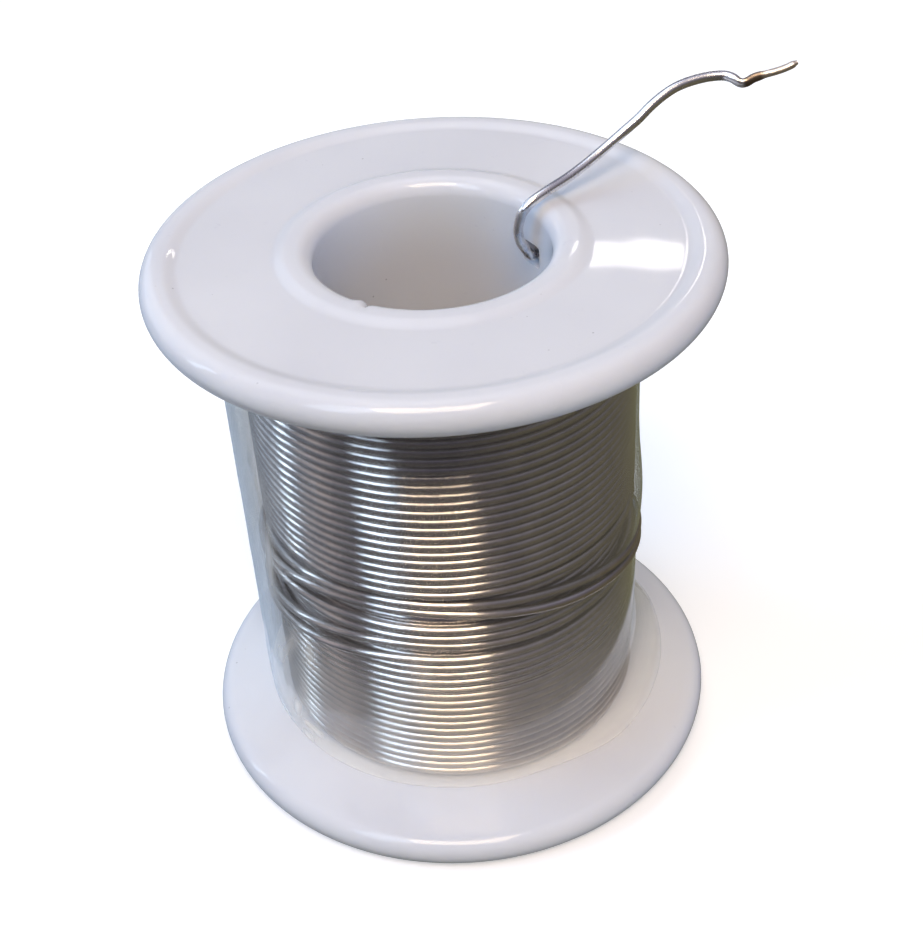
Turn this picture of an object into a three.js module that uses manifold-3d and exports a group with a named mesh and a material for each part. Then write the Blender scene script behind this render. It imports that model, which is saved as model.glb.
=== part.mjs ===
// A reel of solder wire: two moulded plastic reel halves, seven layers of wire wound between their
// flanges, a few crossing turns on top, a clear shrink film round the winding, and the wire's inner
// end coming out of a slot in the bore. Millimetres, +Z up, the reel standing on its lower flange,
// with the origin on the reel's axis at the bottom.

import * as THREE from "three";
import { mergeVertices } from "three/addons/utils/BufferGeometryUtils.js";
import Module from "manifold-3d";

const wasm = await Module();
wasm.setup();

// Driving dimensions.
const REEL_HEIGHT = 59;
const FLANGE_RADIUS = 28;
const BORE_RADIUS = 11.5;
const WIRE_DIAMETER = 1;
const WIRE_LAYERS = 7;
const CORE_WALL = 1.8;
const RIM_THICKNESS = 3.6;
const WEB_DEPTH = 4.6;
const CLEARANCE = 0.3;

// The flange's outer face: depths are measured inwards from the face that the reel stands on.
const RIM_ROUND = RIM_THICKNESS / 2;
const RIM_CENTRE_RADIUS = FLANGE_RADIUS - RIM_ROUND;
const RIM_LAND = 0.45;
const BEAD_SLOPE = 1.6;
const DISH_DEPTH = 0.4;
const LIP_ROUND = 1.6;
const HUB_LAND = 0.8;
const WEB_FLAT_RADIUS = 17;

// The core, and the sleeve joint halfway up where one half plugs into the other.
const CORE_RADIUS = BORE_RADIUS + CORE_WALL;
const JOINT_HEIGHT = REEL_HEIGHT / 2;
const JOINT_LENGTH = 5;
const JOINT_RADIUS = BORE_RADIUS + CORE_WALL / 2;

// The winding.
const WINDING_RADIUS = 19.76;
const LAYER_PITCH = (WINDING_RADIUS - CORE_RADIUS) / WIRE_LAYERS;
const CROSSING_LOW = 22;
const CROSSING_HIGH = 31;
const CROSSING_RADIUS = WINDING_RADIUS + CLEARANCE + 0.6 * WIRE_DIAMETER;

// The clear film.
const FILM_THICKNESS = 0.25;
const FILM_RADIUS = CROSSING_RADIUS + CLEARANCE;
const FILM_HEM_RADIUS = 22.4;
const FILM_FLARE_HEIGHT = 7;

// The slot that the wire's inner end comes out of.
const SLOT_WIDTH = 2.8;
const SLOT_ROOF = 4.5;
const SLOT_FLOOR = 6.9;
const SLOT_OUTER_RADIUS = CORE_RADIUS + 0.2;
const SLOT_DIRECTION = THREE.MathUtils.degToRad(30);

// The route of the wire's inner end, from its first turn under the flange, in through the slot,
// up inside the bore, over the flange and out past the rim to its pinched tip.
const TAIL_ROUTE = [
  [10.75, 6.85, 53.0],
  [10.4, 6.15, 53.05],
  [10.05, 5.45, 53.25],
  [9.65, 4.95, 53.8],
  [9.2, 4.85, 54.5],
  [8.8, 5.05, 55.15],
  [8.6, 5.1, 56.3],
  [8.75, 4.75, 57.7],
  [9.1, 4.5, 58.8],
  [9.9, 4.8, 59.55],
  [11.4, 5.8, 60.05],
  [14.0, 7.9, 60.5],
  [16.5, 9.85, 61.25],
  [18.4, 11.15, 62.1],
  [20.0, 12.1, 62.95],
  [21.5, 12.9, 63.8],
  [22.7, 13.65, 64.6],
  [24.1, 14.5, 65.3],
  [25.5, 15.2, 65.8],
  [27.2, 15.8, 66.1],
  [29.1, 16.2, 66.25],
  [30.6, 16.15, 66.25],
  [31.3, 15.7, 66.15],
  [32.0, 15.25, 65.8],
  [32.5, 15.1, 65.85],
  [33.4, 15.4, 66.15],
  [34.6, 15.55, 66.4],
  [35.7, 15.65, 66.6],
  [36.8, 15.85, 66.85],
  [37.8, 16.0, 67.25],
];
const TAIL_STEP = 0.9;
const TAIL_SIDES = 8;

const SEGMENTS = 48;
const MERGE_DISTANCE = 1e-4;

const whitePlastic = new THREE.MeshStandardMaterial({ color: 0xe6e6ee, roughness: 0.28, metalness: 0 });
const solder = new THREE.MeshStandardMaterial({ color: 0xa9a6a6, roughness: 0.3, metalness: 1 });
const clearFilm = new THREE.MeshStandardMaterial({
  color: 0xdfe6ee, roughness: 0.12, metalness: 0, transparent: true, opacity: 0.35,
});

// Points of an arc, in the plane of radius and height, angles in degrees.
function arc(centreRadius, centreHeight, radius, fromDegrees, toDegrees, steps) {
  const points = [];
  for (let i = 0; i <= steps; i += 1) {
    const angle = THREE.MathUtils.degToRad(fromDegrees + ((toDegrees - fromDegrees) * i) / steps);
    points.push([centreRadius + radius * Math.cos(angle), centreHeight + radius * Math.sin(angle)]);
  }
  return points;
}

// A geometry with only positions, its shared vertices merged.
function merged(geometry) {
  const bare = geometry.index ? geometry.toNonIndexed() : geometry.clone();
  bare.deleteAttribute("normal");
  bare.deleteAttribute("uv");
  return mergeVertices(bare, MERGE_DISTANCE);
}

function signedVolume(geometry) {
  const position = geometry.attributes.position;
  const index = geometry.index.array;
  const [a, b, c] = [new THREE.Vector3(), new THREE.Vector3(), new THREE.Vector3()];
  let volume = 0;
  for (let i = 0; i < index.length; i += 3) {
    a.fromBufferAttribute(position, index[i]);
    b.fromBufferAttribute(position, index[i + 1]);
    c.fromBufferAttribute(position, index[i + 2]);
    volume += a.dot(b.cross(c)) / 6;
  }
  return volume;
}

// Turns a closed outline of [radius, height] points round the Z axis, with its faces outward.
function turned(outline) {
  const closed = [...outline, outline[0]];
  const build = (points) => {
    const profile = points.map(([radius, height]) => new THREE.Vector2(radius, height));
    return merged(new THREE.LatheGeometry(profile, SEGMENTS).rotateX(Math.PI / 2));
  };
  const geometry = build(closed);
  return signedVolume(geometry) > 0 ? geometry : build(closed.reverse());
}

function toManifold(geometry) {
  return new wasm.Manifold(new wasm.Mesh({
    numProp: 3,
    vertProperties: new Float32Array(geometry.attributes.position.array),
    triVerts: new Uint32Array(geometry.index.array),
  }));
}

function fromManifold(solid) {
  const mesh = solid.getMesh();
  const geometry = new THREE.BufferGeometry();
  geometry.setAttribute("position", new THREE.BufferAttribute(new Float32Array(mesh.vertProperties), 3));
  geometry.setIndex(new THREE.BufferAttribute(new Uint32Array(mesh.triVerts), 1));
  return geometry;
}

function named(name, geometry, material) {
  const mesh = new THREE.Mesh(geometry, material.clone());
  mesh.name = name;
  geometry.computeVertexNormals();
  return mesh;
}

// The flange's outline as [radius, depth], from the bore, over the outer face and round the rim, to
// the core at the flange's inner face.
function flangeOutline() {
  const hubRadius = BORE_RADIUS + LIP_ROUND;
  const lip = arc(hubRadius, LIP_ROUND, LIP_ROUND, 180, 270, 6);
  const hubOuter = hubRadius + HUB_LAND;
  const hubBead = [
    [hubOuter, 0],
    [hubOuter + 0.5 * BEAD_SLOPE, 0.35 * DISH_DEPTH],
    [hubOuter + BEAD_SLOPE, DISH_DEPTH],
  ];
  const rimInner = RIM_CENTRE_RADIUS - RIM_LAND;
  const rimBead = [
    [rimInner - BEAD_SLOPE, DISH_DEPTH],
    [rimInner - 0.5 * BEAD_SLOPE, 0.35 * DISH_DEPTH],
    [rimInner, 0],
  ];
  const rimOuter = arc(RIM_CENTRE_RADIUS, RIM_ROUND, RIM_ROUND, -90, 0, 4);
  const rimInside = arc(RIM_CENTRE_RADIUS, RIM_ROUND, RIM_ROUND, 20, 80, 3);
  const rim = [...rimOuter, ...rimInside];
  const web = [];
  const webSteps = 4;
  const [rimRadius, rimDepth] = rim[rim.length - 1];
  for (let i = 1; i <= webSteps; i += 1) {
    const along = i / webSteps;
    const radius = rimRadius + (WEB_FLAT_RADIUS - rimRadius) * along;
    web.push([radius, WEB_DEPTH - (WEB_DEPTH - rimDepth) * (1 - along) ** 2]);
  }
  return [...lip, ...hubBead, ...rimBead, ...rim, ...web, [CORE_RADIUS, WEB_DEPTH]];
}

// A box across the core wall, where the wire's inner end passes through.
function slotCutter() {
  const length = SLOT_OUTER_RADIUS - (BORE_RADIUS - WIRE_DIAMETER);
  const cutter = new THREE.BoxGeometry(length, SLOT_WIDTH, SLOT_FLOOR - SLOT_ROOF);
  cutter.translate(SLOT_OUTER_RADIUS - length / 2, 0, REEL_HEIGHT - (SLOT_ROOF + SLOT_FLOOR) / 2);
  cutter.rotateZ(SLOT_DIRECTION);
  return toManifold(merged(cutter));
}

// The upper half ends in a socket, cut back inside to take the lower half's spigot.
function upperReelHalf() {
  const flange = flangeOutline().map(([radius, depth]) => [radius, REEL_HEIGHT - depth]);
  const socketRadius = JOINT_RADIUS + CLEARANCE / 2;
  const socketTop = JOINT_HEIGHT + JOINT_LENGTH + CLEARANCE;
  const outline = [
    ...flange,
    [CORE_RADIUS, JOINT_HEIGHT + CLEARANCE / 2],
    [socketRadius, JOINT_HEIGHT + CLEARANCE / 2],
    [socketRadius, socketTop],
    [BORE_RADIUS, socketTop],
  ];
  const whole = toManifold(turned(outline));
  return named("upper_reel_half", fromManifold(whole.subtract(slotCutter())), whitePlastic);
}

function lowerReelHalf() {
  const spigotRadius = JOINT_RADIUS - CLEARANCE / 2;
  const outline = [
    ...flangeOutline(),
    [CORE_RADIUS, JOINT_HEIGHT - CLEARANCE / 2],
    [spigotRadius, JOINT_HEIGHT - CLEARANCE / 2],
    [spigotRadius, JOINT_HEIGHT + JOINT_LENGTH],
    [BORE_RADIUS, JOINT_HEIGHT + JOINT_LENGTH],
  ];
  return named("lower_reel_half", turned(outline), whitePlastic);
}

// A plain ring between two radii and two heights.
function ring(innerRadius, outerRadius, low, high) {
  const outline = [[innerRadius, low], [outerRadius, low], [outerRadius, high], [innerRadius, high]];
  return turned(outline);
}

// One layer of turns, as the ring that it fills between the flanges.
function wireLayer(number) {
  const innerRadius = CORE_RADIUS + CLEARANCE + (number - 1) * LAYER_PITCH;
  const low = WEB_DEPTH + CLEARANCE;
  const geometry = ring(innerRadius, innerRadius + LAYER_PITCH - CLEARANCE, low, REEL_HEIGHT - low);
  return named(`wire_layer_${String(number).padStart(2, "0")}`, geometry, solder);
}

// The last turns, which cross the outer layer halfway up.
function crossingTurns() {
  const geometry = ring(WINDING_RADIUS + CLEARANCE, CROSSING_RADIUS, CROSSING_LOW, CROSSING_HIGH);
  return named("wire_crossing_turns", geometry, solder);
}

function shrinkFilm() {
  const low = WEB_DEPTH + CLEARANCE;
  const high = REEL_HEIGHT - low;
  const inner = [
    [FILM_RADIUS, high],
    [FILM_RADIUS, low + FILM_FLARE_HEIGHT],
    [FILM_RADIUS + 0.25 * (FILM_HEM_RADIUS - FILM_RADIUS), low + 0.4 * FILM_FLARE_HEIGHT],
    [FILM_HEM_RADIUS, low],
  ];
  const outer = inner.map(([radius, height]) => [radius + FILM_THICKNESS, height]).reverse();
  return named("shrink_film", turned([...inner, ...outer]), clearFilm);
}

// The wire's free inner end: a round section swept along the route.
function wireTail() {
  const route = new THREE.CatmullRomCurve3(TAIL_ROUTE.map((point) => new THREE.Vector3(...point)));
  const section = new THREE.Shape();
  for (let i = 0; i < TAIL_SIDES; i += 1) {
    const angle = (2 * Math.PI * i) / TAIL_SIDES;
    const x = (WIRE_DIAMETER / 2) * Math.cos(angle);
    const y = (WIRE_DIAMETER / 2) * Math.sin(angle);
    if (i === 0) {
      section.moveTo(x, y);
    } else {
      section.lineTo(x, y);
    }
  }
  section.closePath();
  const steps = Math.round(route.getLength() / TAIL_STEP);
  const swept = new THREE.ExtrudeGeometry(section, { steps, bevelEnabled: false, extrudePath: route });
  return named("wire_tail", merged(swept), solder);
}

const reel = new THREE.Group();
reel.add(lowerReelHalf());
reel.add(upperReelHalf());
for (let number = 1; number <= WIRE_LAYERS; number += 1) {
  reel.add(wireLayer(number));
}
reel.add(crossingTurns());
reel.add(wireTail());
reel.add(shrinkFilm());

export default reel;
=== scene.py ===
"""The looks of a spool of solder wire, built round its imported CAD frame.

Metres, +Z up, with the spool's axis on Z and its lower flange on the floor. Heights and radii
are named in millimetres times MM. Azimuths are in degrees from +X, anticlockwise from above,
and the camera looks from azimuth -90.
"""

import math

import bmesh
import bpy
import numpy as np
from mathutils import Euler, Matrix, Vector, noise


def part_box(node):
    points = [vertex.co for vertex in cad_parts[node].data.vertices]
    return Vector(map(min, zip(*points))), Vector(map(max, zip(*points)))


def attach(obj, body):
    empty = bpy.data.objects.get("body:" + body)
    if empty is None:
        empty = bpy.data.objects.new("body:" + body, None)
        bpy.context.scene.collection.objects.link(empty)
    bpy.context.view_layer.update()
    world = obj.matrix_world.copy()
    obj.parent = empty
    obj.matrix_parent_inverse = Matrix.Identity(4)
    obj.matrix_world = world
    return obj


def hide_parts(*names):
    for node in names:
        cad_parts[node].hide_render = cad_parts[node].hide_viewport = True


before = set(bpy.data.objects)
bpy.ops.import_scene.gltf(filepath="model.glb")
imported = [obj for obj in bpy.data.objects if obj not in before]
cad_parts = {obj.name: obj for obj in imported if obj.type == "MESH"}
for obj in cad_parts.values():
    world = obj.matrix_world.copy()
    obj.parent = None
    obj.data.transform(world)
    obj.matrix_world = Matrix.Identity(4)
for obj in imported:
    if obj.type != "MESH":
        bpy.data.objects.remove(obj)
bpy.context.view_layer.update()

MM = 0.001

# Sizes that come from the frame.
UPPER_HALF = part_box("upper_reel_half")
REEL_HEIGHT = UPPER_HALF[1].z
FLANGE_RADIUS = UPPER_HALF[1].x
WIRE_LAYERS = 7
WINDING_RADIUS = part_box(f"wire_layer_{WIRE_LAYERS:02d}")[1].x
JOINT_HEIGHT = REEL_HEIGHT / 2

# Sizes of the reel that no box gives, as in the CAD.
BORE_RADIUS = 11.5 * MM
CORE_RADIUS = 13.3 * MM
SPIGOT_RADIUS = 12.4 * MM
SPIGOT_LENGTH = 5 * MM
SEAM = 0.06 * MM
RIM_ROUND = 1.8 * MM
RIM_LAND = 0.45 * MM
RIM_CENTRE = FLANGE_RADIUS - RIM_ROUND
BEAD_SLOPE = 1.6 * MM
DISH_DEPTH = 0.4 * MM
LIP_ROUND = 1.6 * MM
HUB_LAND = 0.8 * MM
WEB_DEPTH = 4.6 * MM
WEB_FLAT_RADIUS = 17 * MM

# How finely the reel is drawn. RIM_SWEEP is where its round rim gives way to the inner face, in
# degrees inwards from its outermost point.
REEL_SEGMENTS = 360
LIP_STEPS = 20
BEAD_STEPS = 12
DISH_EDGE = 0.15 * MM
DISH_POINTS = 5
RIM_STEPS = 24
RIM_SWEEP = 80
WEB_STEPS = 12

# Edges sharper than these, in degrees, are shaded as edges.
SHARP_ANGLE = 40
TUBE_SHARP_ANGLE = 60

# The slot in the core that the wire's inner end comes out of.
SLOT_AZIMUTH = 30
SLOT_WIDTH = 2.8 * MM
SLOT_ROOF = 4.5 * MM
SLOT_FLOOR = 6.9 * MM
SLOT_REACH = CORE_RADIUS + 0.2 * MM
SLOT_CORNER = 0.35 * MM
SLOT_CORNER_STEPS = 4
SLOT_OVERLAP = 1 * MM

# A dent in the bore's lip, and the raised bit of plastic beside it. The widths are in degrees.
# NICK_LEVEL is how far below the top the dent's middle is, and NICK_SPREAD how far it fades.
NICK_AZIMUTH = -120
NICK_WIDTH = 1.3
NICK_DEPTH = 0.35 * MM
NICK_LEVEL = 0.5 * MM
NICK_SPREAD = 0.6 * MM
BURR_OFFSET = -4
BURR_WIDTH = 2.4
BURR_HEIGHT = 0.14 * MM

# The wire and its winding.
WIRE_RADIUS = 0.5 * MM
TURN_PITCH = 1.02 * MM
LAYER_RISE = 0.87 * MM
OUTER_LAYER = WINDING_RADIUS - WIRE_RADIUS
FIRST_TURN = WEB_DEPTH + WIRE_RADIUS + 0.05 * MM
LAST_TURN = REEL_HEIGHT - FIRST_TURN
OUTER_STEPS = 128
OUTER_SIDES = 12
INNER_STEPS = 48
INNER_SIDES = 8

# How uneven the outer layer is: how often its waves come, per turn, the smallest one's share of
# the largest, how large they are, and the seeds of their random draws.
WAVES_PER_TURN = (0.31, 0.73, 1.37, 2.9)
LEAST_WAVE = 0.4
UNEVEN_HEIGHT = 0.025 * MM
UNEVEN_RADIUS = 0.02 * MM
HEIGHT_SEED = 5
RADIUS_SEED = 6

# The outer layer, as one wire that goes down from the upper flange. A turn is counted from
# FRONT_AZIMUTH. Turns up to NEAT_UPPER and from NEAT_LOWER are neat, and the ones between cross the
# layer: they sink by a drop on the spool's far side, and ride on other turns. The wire's first
# FREE_END_TURNS rise from a dip. Heights and drops are in millimetres, and a ride is a share of
# LAYER_RISE.
FRONT_AZIMUTH = -107
FIRST_TURN_COUNT = -0.72
FREE_END_DIP = 2.4 * MM
FREE_END_TURNS = 0.14
HEIGHT_SOFTENING = 8
RIDE_SOFTENING = 4
NEAT_UPPER = 21.5
NEAT_LOWER = 28.5
TURN_HEIGHTS = [(22, 30.8), (23, 29.6), (24, 28.6), (25, 26.1), (26, 25.0), (27, 24.1), (28, 22.0)]
TURN_DROPS = [
    (22, 0), (22.5, 3.5), (22.8, 8), (24.5, 8), (24.8, 1), (26.3, 1), (26.5, 10), (26.9, 10),
    (27.15, 1), (27.3, 1), (27.5, 9.5), (27.92, 9), (28.05, 0),
]
TURN_RIDES = [
    (-0.7, 1), (-0.6, 0), (23.12, 0), (23.22, 1), (23.85, 1), (23.95, 0), (24.04, 0), (24.14, 1),
    (24.85, 1), (24.95, 0), (26.25, 0), (26.34, 1), (26.9, 1), (27.0, 0), (27.28, 0), (27.36, 1),
    (27.92, 1), (28.0, 0),
]

# The wire's inner end: the route of its centre line, in millimetres, as in the CAD.
TAIL_ROUTE = [
    (10.75, 6.85, 53.0), (10.4, 6.15, 53.05), (10.05, 5.45, 53.25), (9.65, 4.95, 53.8),
    (9.2, 4.85, 54.5), (8.8, 5.05, 55.15), (8.6, 5.1, 56.3), (8.75, 4.75, 57.7),
    (9.1, 4.5, 58.8), (9.9, 4.8, 59.55),
    (11.4, 5.8, 60.05), (14.0, 7.9, 60.5), (16.5, 9.85, 61.25), (18.4, 11.15, 62.1),
    (20.0, 12.1, 62.95), (21.5, 12.9, 63.8), (22.7, 13.65, 64.6), (24.1, 14.5, 65.3),
    (25.5, 15.2, 65.8), (27.2, 15.8, 66.1), (29.1, 16.2, 66.25), (30.6, 16.15, 66.25),
    (31.3, 15.7, 66.15), (32.0, 15.25, 65.8), (32.5, 15.1, 65.85), (33.4, 15.4, 66.15),
    (34.6, 15.55, 66.4), (35.7, 15.65, 66.6), (36.8, 15.85, 66.85), (37.8, 16.0, 67.25),
]
TAIL_SIDES = 20
TAIL_STEPS_PER_SPAN = 10
TIP_POINT = Vector(TAIL_ROUTE[-1]) * MM

# How the free end was pinched, in spans of its route and in degrees. The losses are the shares of
# the wire's radius that are missing across and upright.
PINCH_START = 22
PINCH_SPANS = 1.5
PINCH_LOSS = (0.04, 0.26)
TWIST_PLACE = 26
TWIST_BEFORE = -35
TWIST_TURN = 75
WAIST_SPANS = 0.4
WAIST_LOSS = 0.2
TIP_SPANS = 1.5
TIP_FADE = 0.5
TIP_LOSS = (0.4, 0.3)

# The shrink film.
FILM_THICKNESS = 0.06 * MM
FILM_GAP = 0.12 * MM
FILM_TOP = REEL_HEIGHT - 4.7 * MM
FILM_COLUMNS = 420
FILM_ROWS = 118

# Where the film is drawn tight: how far a turn holds it up, above and below, and how it is evened
# out between the turns.
TURN_REACH = 0.9 * MM
TIGHT_GAP = 0.12 * MM
TIGHT_PASSES = 6
TIGHT_EVENING = 0.65

# How far it stands off them elsewhere, in millimetres: everywhere, on its loose left side, where
# it is puckered on the right, and at the back. Azimuths and widths are in degrees.
SLACK_LEAST = 0.12
LEFT_AZIMUTH = 180
LEFT_SLACK = 1.75
LEFT_REACH = 58
LEFT_FADE = 40
PUCKER_SLACK = 0.55
PUCKER_AZIMUTH = -8
PUCKER_WIDTH = 28
PUCKER_LEVEL = 29.5
PUCKER_HEIGHT = 5.5
BACK_SLACK = 0.5
BACK_AZIMUTH = 95
BACK_WIDTH = 40

# The film's shallow creases: how deep they are at the top and how much deeper at the hem, in
# millimetres, where they grow, how long and how many they are, and how far they reach from the
# left in full, in degrees.
CREASE_DEPTH = 0.03
CREASE_GROWTH = 0.07
CREASE_GROWS_FROM = 22 * MM
CREASE_GROWS_OVER = 16 * MM
CREASE_LENGTH = 22 * MM
CREASE_COUNT = 3.1
CREASE_SCALE = 2.1
CREASE_START = Vector((3.7, 1.2, 0.4))
CREASE_SHARPNESS = 2.2
CREASE_POWER = 3
CREASE_ELSEWHERE = 0.1
CREASE_REACH = 90
CREASE_FADE = 50

# The flared hem, which lies on the lower flange. HEM_RADII has azimuths and radii in millimetres.
HEM_LIFT = 0.08 * MM
HEM_CLEARANCE = 0.05 * MM
HEM_SOFTENING = 6
FLARE_LEAST = 1.5 * MM
FLARE_GROWTH = 2.4
FLARE_FROM = 20.4 * MM
FLARE_CURVE = 1.6
HEM_RADII = [
    (-180, 21.9), (-150, 21.2), (-100, 20.7), (-65, 20.7), (-55, 21.3), (-42, 22.3), (-17, 22.9),
    (15, 24.0), (50, 22.8), (90, 21.6), (130, 22.6), (180, 21.9),
]

# Painted glints on the film: milky streaks along its folds, which stand in for the reflections of
# the windows in its creases. Each is azimuth and height in millimetres at the top and at the
# bottom, half width in millimetres, and how milky the streak is.
PAINTED_GLINT_FOLDS = [
    (-147.0, 42.0, -149.5, 35.0, 1.1, 0.20), (-148.0, 37.0, -152.5, 22.5, 0.80, 0.45),
    (-146.0, 28.0, -149.5, 35.5, 0.8, 0.22), (-141.0, 22.0, -154.0, 13.8, 0.75, 0.35),
    (-151.0, 17.4, -154.2, 13.6, 0.75, 0.50), (-138.0, 21.6, -139.6, 15.6, 0.80, 0.42),
    (-140.0, 17.0, -148.0, 7.0, 0.9, 0.20), (-146.4, 10.6, -149.2, 6.9, 0.75, 0.50),
    (-148.0, 7.6, -137.0, 6.1, 0.50, 0.40), (-146.4, 6.0, -143.2, 3.9, 0.75, 0.35),
    (-103.6, 24.0, -97.4, 15.0, 1.15, 0.17), (-106.2, 19.0, -116.6, 7.6, 1.00, 0.16),
]
FOLD_RIDGE = 0.015 * MM

# The camera.
CAMERA_DISTANCE = 5.9008 * FLANGE_RADIUS
CAMERA_ELEVATION = math.radians(38.274)
CAMERA_YAW = math.radians(0.5233)
CAMERA_PITCH = math.radians(-0.4398)
CAMERA_ROLL = math.radians(3.956)
CAMERA_LENS = 59.37
CAMERA_NEAR = 5 * MM

# The room that the gloss reflects: each side's colours from straight down to straight up, with
# the heights of the ones between as shares of the way, and where one side gives way to the next
# along X, which is right, and along Y, which is back.
ROOM_STOPS = (0.5, 0.7, 0.88)
ROOM_FRONT = (
    (0.085, 0.075, 0.06), (0.07, 0.06, 0.06), (0.056, 0.052, 0.085), (0.20, 0.18, 0.25),
    (0.60, 0.57, 0.66),
)
ROOM_BACK_LEFT = (
    (0.46, 0.51, 0.60), (0.42, 0.47, 0.55), (0.16, 0.17, 0.22), (0.20, 0.18, 0.25),
    (0.60, 0.57, 0.66),
)
ROOM_BACK_RIGHT = (
    (0.22, 0.20, 0.09), (0.20, 0.185, 0.10), (0.056, 0.052, 0.085), (0.20, 0.18, 0.25),
    (0.60, 0.57, 0.66),
)
ROOM_RIGHT = (
    (0.14, 0.12, 0.07), (0.14, 0.12, 0.08), (0.14, 0.13, 0.16), (0.34, 0.32, 0.39),
    (0.60, 0.57, 0.66),
)
ROOM_LEFT = (
    (0.24, 0.27, 0.33), (0.28, 0.30, 0.36), (0.30, 0.31, 0.36), (0.35, 0.36, 0.42),
    (0.52, 0.50, 0.58),
)
BACK_MIDDLE = (-0.15, 0.15)
FRONT_TO_BACK = (0.2, 0.45)
MIDDLE_TO_RIGHT = (0.1, 0.7)
MIDDLE_TO_LEFT = (-0.75, -0.9)

# The lights, all aimed at the middle of the spool: azimuth and elevation in degrees, distance,
# (width, height), brightness and colour. Only gloss shows the windows and the walls, and only matte
# shading shows the fills.
GLOSS_LIGHTS = {
    "warm_window": (-97, 65, 0.8, (0.40, 0.37), 17.5, (1.0, 0.78, 0.54)),
    "blue_window": (-134, 50, 0.8, (0.24, 0.50), 8.0, (0.70, 0.84, 1.0)),
    "left_window": (172, 23, 0.9, (0.09, 0.36), 9.0, (0.68, 0.84, 1.0)),
    "left_wall": (142, 28, 0.9, (0.80, 0.70), 1.10, (0.70, 0.84, 1.0)),
    "brown_wall": (-166, 25, 0.9, (0.34, 0.75), 0.36, (1.0, 0.79, 0.64)),
    "back_window": (80.4, 31.36, 1.216, (0.082, 0.0208), 9.5, (1.0, 0.93, 0.91)),
    "ceiling": (130, 68, 1.0, (0.70, 0.60), 1.6, (0.80, 0.90, 1.0)),
}
MATTE_LIGHTS = {
    "front_fill": (-94, 58, 0.9, (0.45, 0.43), 7.8, (1.0, 0.82, 0.63)),
    "low_fill": (-90, 12, 1.2, (1.0, 0.5), 1.55, (0.93, 1.0, 0.88)),
    "left_fill": (180, 35, 1.2, (0.8, 0.8), 4.0, (0.36, 0.62, 1.0)),
    "right_fill": (-40, 12, 1.2, (0.8, 0.5), 3.2, (0.43, 0.61, 1.0)),
    "back_fill": (90, 40, 1.2, (0.8, 0.6), 2.25, (0.90, 1.0, 0.90)),
}

# The floor.
FLOOR_HALF = 1.5
FLOOR_COLOURS = ((0.90, 0.90, 0.90, 1), (0.93, 0.93, 0.93, 1))
FLOOR_ROUGHNESS = 0.9
FLOOR_GLOW = 0.25


# ---------------------------------------------------------------- shapes


def smoothstep(value):
    clipped = np.clip(value, 0, 1)
    return clipped * clipped * (3 - 2 * clipped)


def bump(value, centre, width):
    """A smooth hump, 1 at the centre and near 0 two widths away."""
    return np.exp(-(((value - centre) / width) ** 2))


def turned_by(azimuth, centre):
    """The signed angle from centre to azimuth, in degrees, within half a turn."""
    return (azimuth - centre + 180) % 360 - 180


def along(knots, positions):
    """The knots' second numbers, interpolated at positions on their first."""
    places, values = zip(*knots)
    return np.interp(positions, places, values)


def new_object(name, points, faces, smooth_angle=SHARP_ANGLE):
    mesh = bpy.data.meshes.new(name)
    mesh.from_pydata([tuple(p) for p in points], [], faces)
    mesh.validate()
    mesh.shade_smooth()
    mesh.set_sharp_from_angle(angle=math.radians(smooth_angle))
    piece = bpy.data.objects.new(name, mesh)
    bpy.context.scene.collection.objects.link(piece)
    return piece


def outward(piece):
    """Turns a closed piece's faces so that they all point out."""
    work = bmesh.new()
    work.from_mesh(piece.data)
    bmesh.ops.recalc_face_normals(work, faces=work.faces)
    work.to_mesh(piece.data)
    work.free()


def grid_faces(rows, columns, first=0):
    """Faces between the rows of a grid whose columns close on themselves."""
    faces = []
    for row in range(rows - 1):
        start = first + row * columns
        for column in range(columns):
            following = (column + 1) % columns
            faces.append((
                start + column,
                start + following,
                start + columns + following,
                start + columns + column,
            ))
    return faces


def lathe(name, outline, segments):
    """A closed outline of (radius, height) points, turned round Z."""
    angles = np.linspace(0, 2 * math.pi, segments, endpoint=False)
    points = [(r * math.cos(a), r * math.sin(a), h) for r, h in outline for a in angles]
    faces = []
    for row in range(len(outline)):
        start = row * segments
        above = ((row + 1) % len(outline)) * segments
        for column in range(segments):
            following = (column + 1) % segments
            faces.append((start + column, start + following, above + following, above + column))
    piece = new_object(name, points, faces)
    outward(piece)
    return piece


def tube(name, runs, sides):
    """Closed tubes in one piece. A run is its centre line, the direction that its width is
    measured in at each point, and its half width and half height there."""
    points = []
    faces = []
    angles = np.linspace(0, 2 * math.pi, sides, endpoint=False)
    for line, side, half_width, half_height in runs:
        first = len(points)
        tangent = np.gradient(line, axis=0)
        tangent /= np.linalg.norm(tangent, axis=1, keepdims=True)
        across = side - tangent * np.sum(side * tangent, axis=1, keepdims=True)
        across /= np.linalg.norm(across, axis=1, keepdims=True)
        upright = np.cross(tangent, across)
        count = len(line)
        for i in range(count):
            wide = across[i] * half_width[i]
            high = upright[i] * half_height[i]
            points.extend(line[i] + wide * math.cos(a) + high * math.sin(a) for a in angles)
        faces.extend(grid_faces(count, sides, first))
        faces.append(tuple(range(first, first + sides)))
        faces.append(tuple(range(first + (count - 1) * sides, first + count * sides)))
    piece = new_object(name, points, faces, TUBE_SHARP_ANGLE)
    outward(piece)
    return piece


def arc(centre, radius, start, end, steps):
    """Points of an arc in the plane of radius and depth, angles in degrees."""
    angles = np.radians(np.linspace(start, end, steps + 1))
    return [(centre[0] + radius * math.cos(a), centre[1] + radius * math.sin(a)) for a in angles]


def slope(start, end, steps):
    """Points of a soft S from start to end."""
    shares = np.linspace(0, 1, steps + 1)
    return [
        (start[0] + (end[0] - start[0]) * s, start[1] + (end[1] - start[1]) * float(smoothstep(s)))
        for s in shares
    ]


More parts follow.
